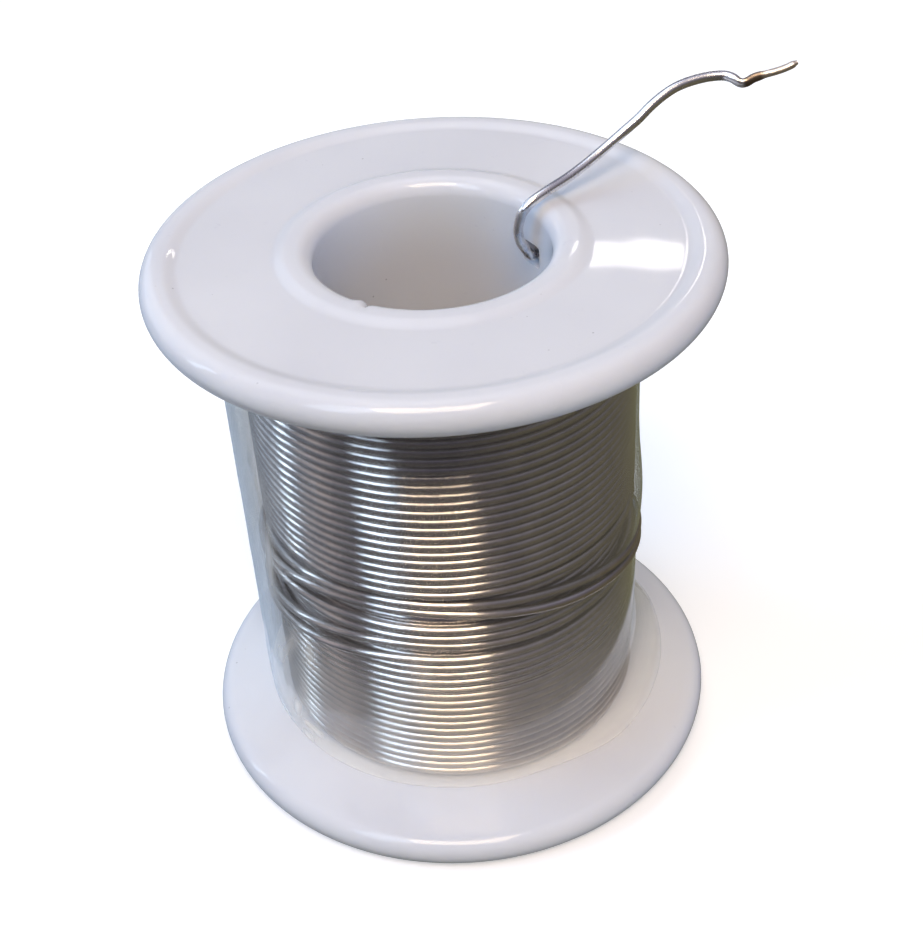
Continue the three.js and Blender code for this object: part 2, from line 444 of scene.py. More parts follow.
def web_depth(radius):
    """How deep the flange's inner face is at a radius, from its outer face."""
    rim_radius = RIM_CENTRE + RIM_ROUND * math.cos(math.radians(RIM_SWEEP))
    rim_depth = RIM_ROUND + RIM_ROUND * math.sin(math.radians(RIM_SWEEP))
    share = np.clip((rim_radius - radius) / (rim_radius - WEB_FLAT_RADIUS), 0, 1)
    return WEB_DEPTH - (WEB_DEPTH - rim_depth) * (1 - share) ** 2


def flange_outline():
    """(radius, depth) points from the bore, over the outer face and the rim, to the core."""
    hub_radius = BORE_RADIUS + LIP_ROUND
    hub_outer = hub_radius + HUB_LAND
    dish_inner = hub_outer + BEAD_SLOPE
    rim_inner = RIM_CENTRE - RIM_LAND
    dish_outer = rim_inner - BEAD_SLOPE
    lip = arc((hub_radius, LIP_ROUND), LIP_ROUND, 180, 270, LIP_STEPS)
    hub_bead = slope((hub_outer, 0), (dish_inner, DISH_DEPTH), BEAD_STEPS)
    dish_radii = np.linspace(dish_inner + DISH_EDGE, dish_outer - DISH_EDGE, DISH_POINTS)
    dish = [(radius, DISH_DEPTH) for radius in dish_radii]
    rim_bead = slope((dish_outer, DISH_DEPTH), (rim_inner, 0), BEAD_STEPS)
    rim = arc((RIM_CENTRE, RIM_ROUND), RIM_ROUND, -90, RIM_SWEEP, RIM_STEPS)
    web_radii = np.linspace(rim[-1][0], WEB_FLAT_RADIUS, WEB_STEPS + 1)[1:]
    web = [(radius, float(web_depth(radius))) for radius in web_radii]
    return [*lip, *hub_bead, *dish, *rim_bead, *rim, *web, (CORE_RADIUS, WEB_DEPTH)]


# ---------------------------------------------------------------- materials

# Noises, as (scale for each millimetre, detail, roughness), and the bands that most of a noise
# lies in.
CLOUD_NOISE = (0.05, 2.0, 0.5)
RUBBED_NOISE = (0.55, 4.0, 0.7)
DIRT_NOISE = (0.09, 1.0, 0.5)
WAVE_NOISE = (0.22, 2.0, 0.4)
HAIR_NOISE = (0.13, 1.0, 0.3)
SCRATCHED_NOISE = (0.16, 1.0, 0.5)
LINE_NOISE = (1.0, 3.0, 0.6)
PATCH_NOISE = (0.35, 3.0, 0.6)
TAIL_PATCH_NOISE = (0.9, 3.0, 0.6)
TAIL_DENT_NOISE = (2.2, 3.0, 0.6)
STREAK_NOISE = (1.6, 3.0, 0.5)
FLOOR_NOISE = (0.02, 3.0, 0.5)
NARROW_BAND = (0.35, 0.65)
WIDE_BAND = (0.3, 0.7)
PATCH_BAND = (0.35, 0.7)

# The plastic. A band is of the noise or distance that it is cut from, and SCRATCH_WIDTH is of a
# noise's distance from its middle.
PLASTIC_TINTS = ((0.68, 0.68, 0.70, 1), (0.72, 0.72, 0.735, 1))
PLASTIC_RUBBED = (0.50, 0.50, 0.55, 1)
PLASTIC_SPECK = (0.22, 0.21, 0.22, 1)
PLASTIC_ROUGHNESS = (0.02, 0.045)
PLASTIC_IOR = 1.49
PLASTIC_SPECULAR = 0.22
PLASTIC_TRANSLUCENCY = 0.6
PLASTIC_SCATTER = (1.0, 1.0, 1.1)
PLASTIC_SCATTER_DEPTH = 2.2 * MM
RUBBED_BAND = (0.66, 0.76)
RUBBED_MOST = 0.25
RUBBED_ROUGHNESS = 0.3
SPECK_SCALE = 0.6
SPECK_EDGE = (0.045, 0.07)
DIRT_BAND = (0.58, 0.64)
DIRT_MOST = 0.5
SCRATCH_WIDTH = (0.0, 0.0022)
SCRATCHED_BAND = (0.52, 0.60)
SCRATCH_BUMP = (0.4, -0.02 * MM)
WAVE_BUMP = (0.035, 0.25 * MM)

# The wound wire, whose drawn lines run round the spool. It is duller from the first height down to
# the second, in millimetres.
SOLDER_COLOURS = ((0.66, 0.63, 0.62, 1), (0.55, 0.53, 0.54, 1))
SOLDER_ROUGHNESS = (0.235, 0.255)
SOLDER_DULL_HEIGHTS = (26, 12)
SOLDER_DULLNESS = 0.05
SOLDER_ANISOTROPY = 0.94
SOLDER_GRAIN_TURN = 0.25
LINE_STRETCH = (0.5, 9.0, 9.0)
LINE_BUMP = (0.03, 0.01 * MM)

# The wire's free end. The reaches are distances from the tip, in millimetres.
TAIL_COLOURS = ((0.80, 0.81, 0.84, 1), (0.62, 0.63, 0.68, 1))
TAIL_PINCHED = (0.20, 0.16, 0.13, 1)
TAIL_TIP = (0.70, 0.64, 0.58, 1)
TAIL_ROUGHNESS = (0.20, 0.30)
TAIL_DULLNESS = 0.18
PINCHED_REACH = (5.6, 6.4)
TIP_REACH = (3.4, 4.0)
DULL_REACH = (4.0, 8.0)
TAIL_BUMP = (0.12, 0.08 * MM)

# The film: how much it mirrors, face on and at a slant, and how milky it is. Heights are in
# millimetres, from the upper one down, and FILM_LEFT is in radians from +X, either way. The milk
# on its left is a painted reflection, and its warm and bluish tints are painted light.
FILM_MIRROR = (0.035, 0.85)
FILM_MIRROR_CURVE = 3.5
FILM_DULL_HEIGHTS = (7, 17)
FILM_DULL_MIRROR = (0.35, 1)
FILM_LEFT = (2.55, 2.95)
# Milk in streaks on the film's left, bluish by its tint: a painted reflection of a bluish light seen at a
# slant.
FILM_LEFT_PAINTED_REFLECTION = (0.10, 0.42)
FILM_LOW_HEIGHTS = (26, 12)
FILM_LOW_MILK = (0.01, 0.07)
FILM_HEM_HEIGHTS = (8, 5)
FILM_HEM_MILK = (0, 0.14)
# The milk's colour is painted light: warm in front and bluish on the left.
FILM_PAINTED_LIGHT_TINTS = ((0.97, 0.90, 0.80, 1), (0.86, 0.93, 1.0, 1))
FILM_CLEAR = (0.98, 0.985, 0.985, 1)
FILM_GLOSS = (0.92, 0.96, 1.0, 1)
FILM_GLOSS_ROUGHNESS = 0.10
STREAK_STRETCH = (3.0, 0.2, 0.05)
STREAK_BUMP = (0.06, 0.25 * MM)


def new_material(name):
    material = bpy.data.materials.new(name)
    material.use_nodes = True
    material.node_tree.nodes.clear()
    return material


def add(material, kind, inputs=None, **settings):
    """Adds a shader node. An input's value is a number, a tuple, or the socket to link it to."""
    made = material.node_tree.nodes.new("ShaderNode" + kind)
    for key, value in settings.items():
        setattr(made, key, value)
    for key, value in (inputs or {}).items():
        if isinstance(value, bpy.types.NodeSocket):
            material.node_tree.links.new(value, made.inputs[key])
        else:
            made.inputs[key].default_value = value
    return made


def millimetres(material):
    """The place on the object, in millimetres, as a vector socket."""
    place = add(material, "TexCoord").outputs["Object"]
    return add(material, "VectorMath", {0: place, 3: 1 / MM}, operation="SCALE").outputs[0]


def calculate(material, operation, first, second=0.0, clamp=False):
    inputs = {0: first, 1: second}
    return add(material, "Math", inputs, operation=operation, use_clamp=clamp).outputs[0]


def noise_of(material, place, noise_kind):
    scale, detail, rough = noise_kind
    inputs = {"Vector": place, "Scale": scale, "Detail": detail, "Roughness": rough}
    return add(material, "TexNoise", inputs).outputs["Fac"]


def remap(material, value, band, ends=(0, 1)):
    """The value, changed so that it goes from one of the ends to the other over the band."""
    inputs = {"Value": value, 1: band[0], 2: band[1], 3: ends[0], 4: ends[1]}
    return add(material, "MapRange", inputs).outputs[0]


def blend_colours(material, share, first, second):
    inputs = {0: share, 6: first, 7: second}
    return add(material, "Mix", inputs, data_type="RGBA").outputs[2]


def bumped(material, height, strength_and_depth, normal=None):
    """The surface's direction with a bump in it, on top of another direction if one is given."""
    strength, depth = strength_and_depth
    inputs = {"Height": height, "Strength": strength, "Distance": depth}
    if normal is not None:
        inputs["Normal"] = normal
    return add(material, "Bump", inputs).outputs[0]


def finish_material(material, shader):
    add(material, "OutputMaterial", {"Surface": shader})
    return material


def cylinder_place(material, place, scale):
    """The place as (distance round the axis, radius, height), each times its scale."""
    split = add(material, "SeparateXYZ", {0: place})
    round_axis = calculate(material, "ARCTAN2", split.outputs[1], split.outputs[0])
    flat = add(material, "CombineXYZ", {0: split.outputs[0], 1: split.outputs[1]})
    radius = add(material, "VectorMath", {0: flat.outputs[0]}, operation="LENGTH")
    return add(material, "CombineXYZ", {
        0: calculate(material, "MULTIPLY", round_axis, scale[0]),
        1: calculate(material, "MULTIPLY", radius.outputs["Value"], scale[1]),
        2: calculate(material, "MULTIPLY", split.outputs[2], scale[2]),
    }).outputs[0]


def plastic_specks(material, place):
    """Small dark specks, which come only in a few dirty places."""
    cells = add(material, "TexVoronoi", {"Vector": place, "Scale": SPECK_SCALE})
    dots = remap(material, cells.outputs["Distance"], SPECK_EDGE, (1, 0))
    dirty = remap(material, noise_of(material, place, DIRT_NOISE), DIRT_BAND, (0, DIRT_MOST))
    return calculate(material, "MULTIPLY", dots, dirty)


def plastic_scratches(material, place):
    """Hair scratches, which follow the middle of a noise where another one is high."""
    middle = calculate(material, "SUBTRACT", noise_of(material, place, HAIR_NOISE), 0.5)
    hair = remap(material, calculate(material, "ABSOLUTE", middle), SCRATCH_WIDTH, (1, 0))
    where = remap(material, noise_of(material, place, SCRATCHED_NOISE), SCRATCHED_BAND)
    return calculate(material, "MULTIPLY", hair, where)


def milky_plastic():
    """Glossy white moulded plastic that lets a little light in, with specks and fine scratches."""
    material = new_material("milky_plastic")
    place = millimetres(material)
    clouds = remap(material, noise_of(material, place, CLOUD_NOISE), NARROW_BAND)
    tint = blend_colours(material, clouds, *PLASTIC_TINTS)
    patches = noise_of(material, place, RUBBED_NOISE)
    rubbed = remap(material, patches, RUBBED_BAND, (0, RUBBED_MOST))
    worn = blend_colours(material, rubbed, tint, PLASTIC_RUBBED)
    colour = blend_colours(material, plastic_specks(material, place), worn, PLASTIC_SPECK)
    waves = noise_of(material, place, WAVE_NOISE)
    roughness = calculate(
        material, "ADD", remap(material, waves, WIDE_BAND, PLASTIC_ROUGHNESS),
        calculate(material, "MULTIPLY", rubbed, RUBBED_ROUGHNESS),
    )
    wavy = bumped(material, waves, WAVE_BUMP)
    scratched = bumped(material, plastic_scratches(material, place), SCRATCH_BUMP, wavy)
    shader = add(material, "BsdfPrincipled", {
        "Base Color": colour,
        "Roughness": roughness,
        "Normal": scratched,
        "IOR": PLASTIC_IOR,
        "Specular IOR Level": PLASTIC_SPECULAR,
        "Subsurface Weight": PLASTIC_TRANSLUCENCY,
        "Subsurface Radius": PLASTIC_SCATTER,
        "Subsurface Scale": PLASTIC_SCATTER_DEPTH,
    })
    return finish_material(material, shader.outputs[0])


def drawn_solder():
    """Bright drawn solder wire, wound round Z, with fine lines along it, duller lower down."""
    material = new_material("drawn_solder")
    place = millimetres(material)
    height = add(material, "SeparateXYZ", {0: place}).outputs[2]
    lines = noise_of(material, cylinder_place(material, place, LINE_STRETCH), LINE_NOISE)
    patches = remap(material, noise_of(material, place, PATCH_NOISE), PATCH_BAND)
    roughness = calculate(
        material, "ADD", remap(material, lines, WIDE_BAND, SOLDER_ROUGHNESS),
        remap(material, height, SOLDER_DULL_HEIGHTS, (0, SOLDER_DULLNESS)),
    )
    grain = add(material, "Tangent", direction_type="RADIAL", axis="Z")
    shader = add(material, "BsdfPrincipled", {
        "Base Color": blend_colours(material, patches, *SOLDER_COLOURS),
        "Metallic": 1.0,
        "Roughness": roughness,
        "Anisotropic": SOLDER_ANISOTROPY,
        "Anisotropic Rotation": SOLDER_GRAIN_TURN,
        "Tangent": grain.outputs[0],
        "Normal": bumped(material, lines, LINE_BUMP),
    })
    return finish_material(material, shader.outputs[0])


def tail_solder():
    """The same solder on the free end: dark where it was pinched, pale and dull at the tip."""
    material = new_material("tail_solder")
    place = millimetres(material)
    tip = add(material, "VectorMath", {
        0: place, 1: tuple(TIP_POINT / MM),
    }, operation="DISTANCE").outputs["Value"]
    patches = noise_of(material, place, TAIL_PATCH_NOISE)
    bright = blend_colours(material, remap(material, patches, PATCH_BAND), *TAIL_COLOURS)
    pinched = blend_colours(
        material, remap(material, tip, PINCHED_REACH, (1, 0)), bright, TAIL_PINCHED,
    )
    colour = blend_colours(material, remap(material, tip, TIP_REACH, (1, 0)), pinched, TAIL_TIP)
    roughness = calculate(
        material, "ADD", remap(material, patches, WIDE_BAND, TAIL_ROUGHNESS),
        remap(material, tip, DULL_REACH, (TAIL_DULLNESS, 0)),
    )
    dents = noise_of(material, place, TAIL_DENT_NOISE)
    shader = add(material, "BsdfPrincipled", {
        "Base Color": colour,
        "Metallic": 1.0,
        "Roughness": roughness,
        "Normal": bumped(material, dents, TAIL_BUMP),
    })
    return finish_material(material, shader.outputs[0])


def film_milk_and_painted_light(material, height, left, streaks):
    """How milky the film is: at its hem and lower down, with painted glints along its folds and a
    painted reflection in streaks on its left.
    """
    # Streaks of milk on the left: a painted reflection.
    left_painted_reflection = calculate(
        material, "MULTIPLY", left, remap(material, streaks, NARROW_BAND, FILM_LEFT_PAINTED_REFLECTION),
    )
    low = calculate(
        material, "ADD", remap(material, height, FILM_LOW_HEIGHTS, FILM_LOW_MILK),
        remap(material, height, FILM_HEM_HEIGHTS, FILM_HEM_MILK),
    )
    # The painted glints along the folds: milk that stands in for the windows' reflections.
    painted_glint = add(material, "Attribute", attribute_name="painted_glint").outputs["Fac"]
    return calculate(
        material, "ADD", painted_glint, calculate(material, "ADD", low, left_painted_reflection), clamp=True,
    )


def shrink_film_material():
    """Thin clear film: mirror-like at a slant and milky at its hem, with painted glints along its
    folds, a painted reflection in streaks on its left and painted light in the milk's tints.
    """
    material = new_material("clear_film")
    place = millimetres(material)
    split = add(material, "SeparateXYZ", {0: place})
    height = split.outputs[2]
    azimuth = calculate(material, "ARCTAN2", split.outputs[1], split.outputs[0])
    left = remap(material, calculate(material, "ABSOLUTE", azimuth), FILM_LEFT)
    streaks = noise_of(material, cylinder_place(material, place, STREAK_STRETCH), STREAK_NOISE)
    normal = bumped(material, streaks, STREAK_BUMP)
    slant = add(material, "LayerWeight", {"Blend": 0.5, "Normal": normal})
    steep = calculate(material, "POWER", slant.outputs["Facing"], FILM_MIRROR_CURVE)
    mirror = calculate(
        material, "MULTIPLY", remap(material, steep, (0, 1), FILM_MIRROR),
        remap(material, height, FILM_DULL_HEIGHTS, FILM_DULL_MIRROR),
    )
    # Painted light in the milk: warm in front and bluish on the left, the colours of the lights that it
    # stands in for.
    tint = blend_colours(material, left, *FILM_PAINTED_LIGHT_TINTS)
    clear = add(material, "BsdfTransparent", {"Color": FILM_CLEAR})
    gloss = add(material, "BsdfGlossy", {
        "Color": FILM_GLOSS, "Roughness": FILM_GLOSS_ROUGHNESS, "Normal": normal,
    })
    milk = add(material, "BsdfDiffuse", {"Color": tint})
    milky = add(material, "MixShader", {
        0: film_milk_and_painted_light(material, height, left, streaks), 1: clear.outputs[0], 2: milk.outputs[0],
    })
    whole = add(material, "MixShader", {0: mirror, 1: milky.outputs[0], 2: gloss.outputs[0]})
    return finish_material(material, whole.outputs[0])


def floor_material():
    """A plain pale floor that glows a little, so that its shadows stay soft."""
    material = new_material("pale_floor")
    grain = noise_of(material, millimetres(material), FLOOR_NOISE)
    rough = add(material, "BsdfPrincipled", {
        "Base Color": blend_colours(material, grain, *FLOOR_COLOURS),
        "Roughness": FLOOR_ROUGHNESS,
        "Emission Color": (1, 1, 1, 1),
        "Emission Strength": FLOOR_GLOW,
    })
    return finish_material(material, rough.outputs[0])


def ready(piece, material, slot, *nodes):
    """Gives a piece its material, its body and the CAD nodes that it stands for. The slot argument is not
    used.
    """
    piece.data.materials.clear()
    piece.data.materials.append(material)
    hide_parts(*nodes)
    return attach(piece, "root")


# ---------------------------------------------------------------- camera and tail


def make_camera():
    turn = Euler((math.pi / 2 - CAMERA_ELEVATION, 0, 0)).to_matrix()
    turn = turn @ Matrix.Rotation(-CAMERA_YAW, 3, "Y")
    turn = turn @ Matrix.Rotation(-CAMERA_PITCH, 3, "X")
    turn = turn @ Matrix.Rotation(-CAMERA_ROLL, 3, "Z")
    data = bpy.data.cameras.new("camera")
    data.lens = CAMERA_LENS
    data.clip_start = CAMERA_NEAR
    camera = bpy.data.objects.new("camera", data)
    camera.location = (
        0,
        -CAMERA_DISTANCE * math.cos(CAMERA_ELEVATION),
        REEL_HEIGHT / 2 + CAMERA_DISTANCE * math.sin(CAMERA_ELEVATION),
    )
    camera.rotation_euler = turn.to_euler()
    bpy.context.scene.collection.objects.link(camera)
    bpy.context.scene.camera = camera


def smooth_route(points, steps):
    """A centripetal Catmull-Rom curve through the points, with that many steps a span."""
    places = np.array(points, float)
    gaps = np.sqrt(np.linalg.norm(np.diff(places, axis=0), axis=1))
    knots = np.concatenate([[0], np.cumsum(gaps)])
    slopes = np.diff(places, axis=0) / gaps[:, None]
    tangents = np.empty_like(places)
    tangents[0] = slopes[0]
    tangents[-1] = slopes[-1]
    for i in range(1, len(places) - 1):
        overall = (places[i + 1] - places[i - 1]) / (knots[i + 1] - knots[i - 1])
        tangents[i] = slopes[i - 1] + slopes[i] - overall
    line = []
    for i, gap in enumerate(gaps):
        for s in np.linspace(0, 1, steps, endpoint=False):
            line.append(
                places[i] * (2 * s**3 - 3 * s**2 + 1)
                + places[i + 1] * (3 * s**2 - 2 * s**3)
                + tangents[i] * gap * (s**3 - 2 * s**2 + s)
                + tangents[i + 1] * gap * (s**3 - s**2)
            )
    line.append(places[-1])
    return np.array(line)


def carried_side(line, start):
    """A side direction carried along the line without twisting."""
    tangent = np.gradient(line, axis=0)
    tangent /= np.linalg.norm(tangent, axis=1, keepdims=True)
    side = np.array(start, float)
    sides = []
    for direction in tangent:
        side = side - direction * np.dot(side, direction)
        side = side / np.linalg.norm(side)
        sides.append(side)
    return np.array(sides), tangent


def tail_section(line):
    """The free end's side directions and half sizes along its line."""
    side, tangent = carried_side(line, (0, 0, 1))
    spans = np.arange(len(line)) / TAIL_STEPS_PER_SPAN
    pinch = smoothstep((spans - PINCH_START) / PINCH_SPANS)
    tip = smoothstep((spans - (len(TAIL_ROUTE) - TIP_SPANS)) / TIP_FADE)
    waist = bump(spans, TWIST_PLACE, WAIST_SPANS)
    turned = smoothstep(spans - TWIST_PLACE + 0.5)
    twist = np.radians(TWIST_BEFORE * pinch + TWIST_TURN * turned)
    upright = np.cross(tangent, side)
    side = side * np.cos(twist)[:, None] + upright * np.sin(twist)[:, None]
    width_loss = PINCH_LOSS[0] * pinch + WAIST_LOSS * waist + TIP_LOSS[0] * tip
    height_loss = PINCH_LOSS[1] * pinch + TIP_LOSS[1] * tip
    return side, WIRE_RADIUS * (1 - width_loss), WIRE_RADIUS * (1 - height_loss)


def make_tail():
    """The wire's free inner end: round up to its kink, then pinched flat, twisted and cut."""
    line = smooth_route(TAIL_ROUTE, TAIL_STEPS_PER_SPAN) * MM
    piece = tube("wire_free_end", [(line, *tail_section(line))], TAIL_SIDES)
    ready(piece, tail_solder(), "wire", "wire_tail")


# ---------------------------------------------------------------- reel


def dent_lip(piece):
    """Presses a small dent in the bore's lip, with a burr beside it."""
    for vertex in piece.data.vertices:
        place = vertex.co
        radius = math.hypot(place.x, place.y)
        depth = REEL_HEIGHT - place.z
        if radius > BORE_RADIUS + LIP_ROUND or depth > 2 * LIP_ROUND:
            continue
        away = turned_by(math.degrees(math.atan2(place.y, place.x)), NICK_AZIMUTH)
        dent = NICK_DEPTH * float(bump(away, 0, NICK_WIDTH))
        burr = BURR_HEIGHT * float(bump(turned_by(away, BURR_OFFSET), 0, BURR_WIDTH))
        push = (dent - burr) * float(bump(depth, NICK_LEVEL, NICK_SPREAD))
        place.z -= push
        place.x += push * place.x / radius
        place.y += push * place.y / radius


def slot_cutter():
    """A block of the slot's size and place, with soft corners."""
    length = SLOT_REACH - (BORE_RADIUS - SLOT_OVERLAP)
    size = (length, SLOT_WIDTH, SLOT_FLOOR - SLOT_ROOF, 1)
    centre = Vector((SLOT_REACH - length / 2, 0, REEL_HEIGHT - (SLOT_ROOF + SLOT_FLOOR) / 2))
    turn = Matrix.Rotation(math.radians(SLOT_AZIMUTH), 4, "Z")
    place = turn @ Matrix.Translation(centre) @ Matrix.Diagonal(size)
    work = bmesh.new()
    bmesh.ops.create_cube(work, size=1, matrix=place)
    bmesh.ops.bevel(
        work, geom=work.edges[:], offset=SLOT_CORNER, segments=SLOT_CORNER_STEPS, profile=0.5,
        affect="EDGES",
    )
    cutter = new_object("slot_cutter", [], [])
    work.to_mesh(cutter.data)
    work.free()
    return cutter


def cut_slot(piece):
    """Cuts the slot through the core wall."""
    cutter = slot_cutter()
    cut = piece.modifiers.new("slot", "BOOLEAN")
    cut.object = cutter
    cut.operation = "DIFFERENCE"
    cut.solver = "EXACT"
    evaluated = piece.evaluated_get(bpy.context.evaluated_depsgraph_get())
    mesh = bpy.data.meshes.new_from_object(evaluated)
    piece.modifiers.clear()
    piece.data = mesh
    bpy.data.objects.remove(cutter)
    mesh.shade_smooth()
    mesh.set_sharp_from_angle(angle=math.radians(SHARP_ANGLE))


def make_upper_half(material):
    """The upper flange with its half of the core, whose socket takes the lower half's spigot."""
    flange = [(radius, REEL_HEIGHT - depth) for radius, depth in flange_outline()]
    socket_radius = SPIGOT_RADIUS + SEAM / 2
    socket_top = JOINT_HEIGHT + SPIGOT_LENGTH + SEAM
    bottom = JOINT_HEIGHT + SEAM / 2
    core = [
        (CORE_RADIUS, bottom),
        (socket_radius, bottom),
        (socket_radius, socket_top),
        (BORE_RADIUS, socket_top),
    ]
    piece = lathe("reel_upper_half", [*flange, *core], REEL_SEGMENTS)
    dent_lip(piece)
    cut_slot(piece)
    return ready(piece, material, "reel", "upper_reel_half")


def make_lower_half(material):
    """The lower flange with its half of the core, which ends in a spigot."""
    spigot_radius = SPIGOT_RADIUS - SEAM / 2
    spigot_top = JOINT_HEIGHT + SPIGOT_LENGTH
    top = JOINT_HEIGHT - SEAM / 2
    core = [
        (CORE_RADIUS, top),
        (spigot_radius, top),
        (spigot_radius, spigot_top),
        (BORE_RADIUS, spigot_top),
    ]
    piece = lathe("reel_lower_half", [*flange_outline(), *core], REEL_SEGMENTS)
    return ready(piece, material, "reel", "lower_reel_half")


# ---------------------------------------------------------------- winding


def wound_run(turns, heights, radii):
    """A tube's run along a coil round Z, from its turn counts, heights and radii."""
    azimuths = np.radians(FRONT_AZIMUTH + 360 * turns)
    outwards = np.stack([np.cos(azimuths), np.sin(azimuths), np.zeros_like(azimuths)], axis=1)
    line = outwards * radii[:, None]
    line[:, 2] = heights
    size = np.full(len(turns), WIRE_RADIUS)
    return line, outwards, size, size


def unevenness(turns, seed, amount):
    """Small smooth waves along the wire, so that no two turns are alike."""
    draws = np.random.default_rng(seed)
    waves = np.zeros_like(turns)
    for frequency in WAVES_PER_TURN:
        waves += draws.uniform(LEAST_WAVE, 1) * np.sin(2 * math.pi * (frequency * turns + draws.uniform()))
    return amount * waves / len(WAVES_PER_TURN)


def softened(values, reach):
    """A running mean over that many values either side, with most weight in the middle."""
    padded = np.pad(values, reach, mode="edge")
    weights = np.hanning(2 * reach + 3)[1:-1]
    return np.convolve(padded, weights / weights.sum(), mode="valid")


def outer_coil():
    """Turn counts, heights and radii of the whole outer layer, from its free end down."""
    top_turn, top_height = TURN_HEIGHTS[0]
    low_turn, low_height = TURN_HEIGHTS[-1]
    lowest = NEAT_LOWER - 0.5
    last = lowest + (low_height * MM - FIRST_TURN) / TURN_PITCH
    turns = np.arange(FIRST_TURN_COUNT, last, 1 / OUTER_STEPS)
    neat_above = top_height * MM + (top_turn - turns) * TURN_PITCH
    neat_below = low_height * MM - (turns - low_turn) * TURN_PITCH
    between = along(TURN_HEIGHTS, turns) * MM
    heights = np.where(turns < top_turn, neat_above, np.where(turns > lowest, neat_below, between))
    sink = along(TURN_DROPS, turns) * MM * (1 - np.cos(2 * math.pi * turns)) / 2
    dip = FREE_END_DIP * (1 - smoothstep((turns - FIRST_TURN_COUNT) / FREE_END_TURNS))
    heights = softened(heights - sink - dip, HEIGHT_SOFTENING)
    ride = softened(along(TURN_RIDES, turns), RIDE_SOFTENING)
    heights = heights + unevenness(turns, HEIGHT_SEED, UNEVEN_HEIGHT)
    radii = OUTER_LAYER + LAYER_RISE * ride + unevenness(turns, RADIUS_SEED, UNEVEN_RADIUS)
    return turns, heights, radii


def make_outer_turns(material, coil):
    """The outer layer in two pieces: its neat turns, and the turns that cross it."""
    turns, heights, radii = coil
    crossing = (turns >= NEAT_UPPER) & (turns <= NEAT_LOWER)
    above = turns <= turns[crossing][0]
    below = turns >= turns[crossing][-1]
    runs = [wound_run(turns[part], heights[part], radii[part]) for part in (above, below)]
    neat = tube(f"winding_{WIRE_LAYERS:02d}", runs, OUTER_SIDES)
    ready(neat, material, "wire", f"wire_layer_{WIRE_LAYERS:02d}")
    run = wound_run(turns[crossing], heights[crossing], radii[crossing])
    loose = tube("crossing_turns", [run], OUTER_SIDES)
    ready(loose, material, "wire", "wire_crossing_turns")


def make_inner_turns(material, layer):
    """One neat hidden layer. Each layer's turns lie in the grooves of the one below."""
    shift = TURN_PITCH / 2 if (WIRE_LAYERS - layer) % 2 else 0
    count = (LAST_TURN - FIRST_TURN - shift) / TURN_PITCH
    turns = np.arange(0, count, 1 / INNER_STEPS)
    heights = LAST_TURN - shift - turns * TURN_PITCH
    radii = np.full(len(turns), OUTER_LAYER - (WIRE_LAYERS - layer) * LAYER_RISE)
    piece = tube(f"winding_{layer:02d}", [wound_run(turns, heights, radii)], INNER_SIDES)
    return ready(piece, material, "wire", f"wire_layer_{layer:02d}")


# ---------------------------------------------------------------- film


def wrapped_radius(coil, heights):
    """The film's radius where it is drawn tight over the turns, with azimuths counted from 0."""
    turns, turn_heights, radii = coil
    column = np.round((FRONT_AZIMUTH + 360 * turns) % 360 / (360 / FILM_COLUMNS)).astype(int)
    outer = np.full((len(heights), FILM_COLUMNS), OUTER_LAYER + WIRE_RADIUS)
    for place, height, radius in zip(column % FILM_COLUMNS, turn_heights, radii):
        covered = np.abs(heights - height) < TURN_REACH
        outer[covered, place] = np.maximum(outer[covered, place], radius + WIRE_RADIUS)
    for _ in range(TIGHT_PASSES):
        spread = (np.roll(outer, 2, axis=1) + np.roll(outer, -2, axis=1)) / 2
        spread = (spread + np.roll(spread, 1, axis=0) + np.roll(spread, -1, axis=0)) / 3
        spread[0] = outer[0]
        spread[-1] = outer[-1]
        evened = (1 - TIGHT_EVENING) * outer + TIGHT_EVENING * spread
        outer = np.maximum(evened, np.minimum(outer, spread))
    return outer + FILM_GAP


def film_slack(azimuths, heights):
    """How far the film stands off the turns: loose on the left, puckered on the right."""
    azimuth, height = np.meshgrid(azimuths, heights / MM)
    from_left = np.abs(turned_by(azimuth, LEFT_AZIMUTH))
    left = LEFT_SLACK * smoothstep((LEFT_REACH - from_left) / LEFT_FADE)
    pucker = PUCKER_SLACK * bump(turned_by(azimuth, PUCKER_AZIMUTH), 0, PUCKER_WIDTH)
    pucker = pucker * bump(height, PUCKER_LEVEL, PUCKER_HEIGHT)
    back = BACK_SLACK * bump(turned_by(azimuth, BACK_AZIMUTH), 0, BACK_WIDTH)
    return (left + pucker + back + SLACK_LEAST) * MM


def film_creases(azimuths, heights):
    """Shallow creases, mostly upright, that grow towards the lower hem."""
    creases = np.zeros((len(heights), len(azimuths)))
    for row, height in enumerate(heights):
        lower = float(smoothstep((CREASE_GROWS_FROM - height) / CREASE_GROWS_OVER))
        depth = (CREASE_DEPTH + CREASE_GROWTH * lower) * MM
        for column, azimuth in enumerate(np.radians(azimuths)):
            place = Vector((
                CREASE_COUNT * math.cos(azimuth),
                CREASE_COUNT * math.sin(azimuth),
                height / CREASE_LENGTH,
            ))
            middle = abs(noise.noise(place * CREASE_SCALE + CREASE_START))
            creases[row, column] = depth * max(1 - CREASE_SHARPNESS * middle, 0) ** CREASE_POWER
    from_left = np.abs(turned_by(azimuths, LEFT_AZIMUTH))
    near_left = smoothstep((CREASE_REACH - from_left) / CREASE_FADE)
    return creases * (CREASE_ELSEWHERE + (1 - CREASE_ELSEWHERE) * near_left)


